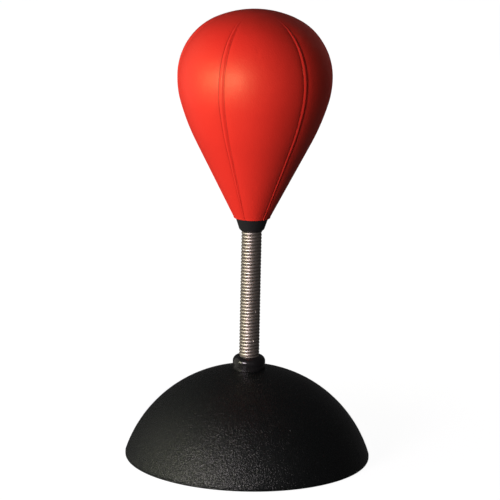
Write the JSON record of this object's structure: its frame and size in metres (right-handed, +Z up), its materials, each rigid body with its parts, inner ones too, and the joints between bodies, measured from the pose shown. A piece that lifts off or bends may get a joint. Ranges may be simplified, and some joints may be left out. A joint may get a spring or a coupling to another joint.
{
  "type": "desktop punching ball",
  "caption": "Pear-shaped panelled punching ball on a close-wound spring that stands on a domed suction base and sways in every direction.",
  "frame": {"origin": "on the desk, under the centre of the base's rim", "axes": "+Z up along the spring and ball, -Y towards the viewer of the front panel, +X to that viewer's right"},
  "size_m": [0.19, 0.19, 0.3504],
  "materials": {
    "red_leather": "fine-grained coated leather with a soft sheen",
    "red_welt": "coated leather strip",
    "bladder_rubber": "thin moulded rubber",
    "valve_rubber": "soft moulded rubber",
    "inner_plastic": "moulded, matte",
    "black_plastic": "moulded, satin",
    "collar_plastic": "moulded, glossy",
    "grained_plastic": "fine spark-grained",
    "spring_wire": "drawn nickel-plated wire",
    "steel": "zinc-plated",
    "brass": "turned",
    "cup_rubber": "smooth moulded rubber"
  },
  "bodies": {
    "base": {"dome_shell": "grained_plastic", "base_collar": "collar_plastic", "spring_peg_lower": "steel", "base_stud": "steel", "boss_washer": "steel", "boss_nut": "steel", "suction_cup": "cup_rubber", "cup_insert": "brass", "spring_coils_1": "spring_wire"},
    "coil_run_2": {"spring_coils_2": "spring_wire"},
    "coil_run_3": {"spring_coils_3": "spring_wire"},
    "coil_run_4": {"spring_coils_4": "spring_wire"},
    "coil_run_5": {"spring_coils_5": "spring_wire"},
    "coil_run_6": {"spring_coils_6": "spring_wire"},
    "coil_run_7": {"spring_coils_7": "spring_wire"},
    "coil_run_8": {"spring_coils_8": "spring_wire"},
    "ball": {"ball_panel_1": "red_leather", "ball_panel_2": "red_leather", "ball_panel_3": "red_leather", "ball_panel_4": "red_leather", "ball_panel_5": "red_leather", "ball_panel_6": "red_leather", "seam_welt_1": "red_welt", "seam_welt_2": "red_welt", "seam_welt_3": "red_welt", "seam_welt_4": "red_welt", "seam_welt_5": "red_welt", "seam_welt_6": "red_welt", "bladder": "bladder_rubber", "air_valve": "valve_rubber", "mouth_plug": "inner_plastic", "mouth_insert": "brass", "clamp_ring": "steel", "neck_cup": "black_plastic", "spring_peg_upper": "steel", "neck_stud": "steel", "spring_coils_9": "spring_wire"}
  },
  "joints": [
    {"name": "swing_side", "type": "hinge", "parent": "base", "child": "coil_run_2", "pos_m": [0, 0, 0.08723], "axis": [0, 1, 0], "range_deg": [-12, 12], "stiffness_Nm_per_rad": 5},
    {"name": "swing_front", "type": "hinge", "parent": "coil_run_2", "child": "coil_run_3", "pos_m": [0, 0, 0.09908], "axis": [1, 0, 0], "range_deg": [-12, 12], "stiffness_Nm_per_rad": 5},
    {"name": "side_lean_2", "type": "hinge", "parent": "coil_run_3", "child": "coil_run_4", "pos_m": [0, 0, 0.11076], "axis": [0, 1, 0], "range_deg": [-9, 9], "stiffness_Nm_per_rad": 5},
    {"name": "front_lean_2", "type": "hinge", "parent": "coil_run_4", "child": "coil_run_5", "pos_m": [0, 0, 0.12228], "axis": [1, 0, 0], "range_deg": [-9, 9], "stiffness_Nm_per_rad": 5},
    {"name": "side_lean_3", "type": "hinge", "parent": "coil_run_5", "child": "coil_run_6", "pos_m": [0, 0, 0.13363], "axis": [0, 1, 0], "range_deg": [-6, 6], "stiffness_Nm_per_rad": 5},
    {"name": "front_lean_3", "type": "hinge", "parent": "coil_run_6", "child": "coil_run_7", "pos_m": [0, 0, 0.14481], "axis": [1, 0, 0], "range_deg": [-6, 6], "stiffness_Nm_per_rad": 5},
    {"name": "side_lean_4", "type": "hinge", "parent": "coil_run_7", "child": "coil_run_8", "pos_m": [0, 0, 0.15842], "axis": [0, 1, 0], "range_deg": [-3, 3], "stiffness_Nm_per_rad": 5},
    {"name": "front_lean_4", "type": "hinge", "parent": "coil_run_8", "child": "ball", "pos_m": [0, 0, 0.17186], "axis": [1, 0, 0], "range_deg": [-3, 3], "stiffness_Nm_per_rad": 5}
  ],
  "couplings": [
    {"joint": "side_lean_2", "follows": "swing_side", "ratio": 0.75},
    {"joint": "front_lean_2", "follows": "swing_front", "ratio": 0.75},
    {"joint": "side_lean_3", "follows": "swing_side", "ratio": 0.5},
    {"joint": "front_lean_3", "follows": "swing_front", "ratio": 0.5},
    {"joint": "side_lean_4", "follows": "swing_side", "ratio": 0.25},
    {"joint": "front_lean_4", "follows": "swing_front", "ratio": 0.25}
  ]
}
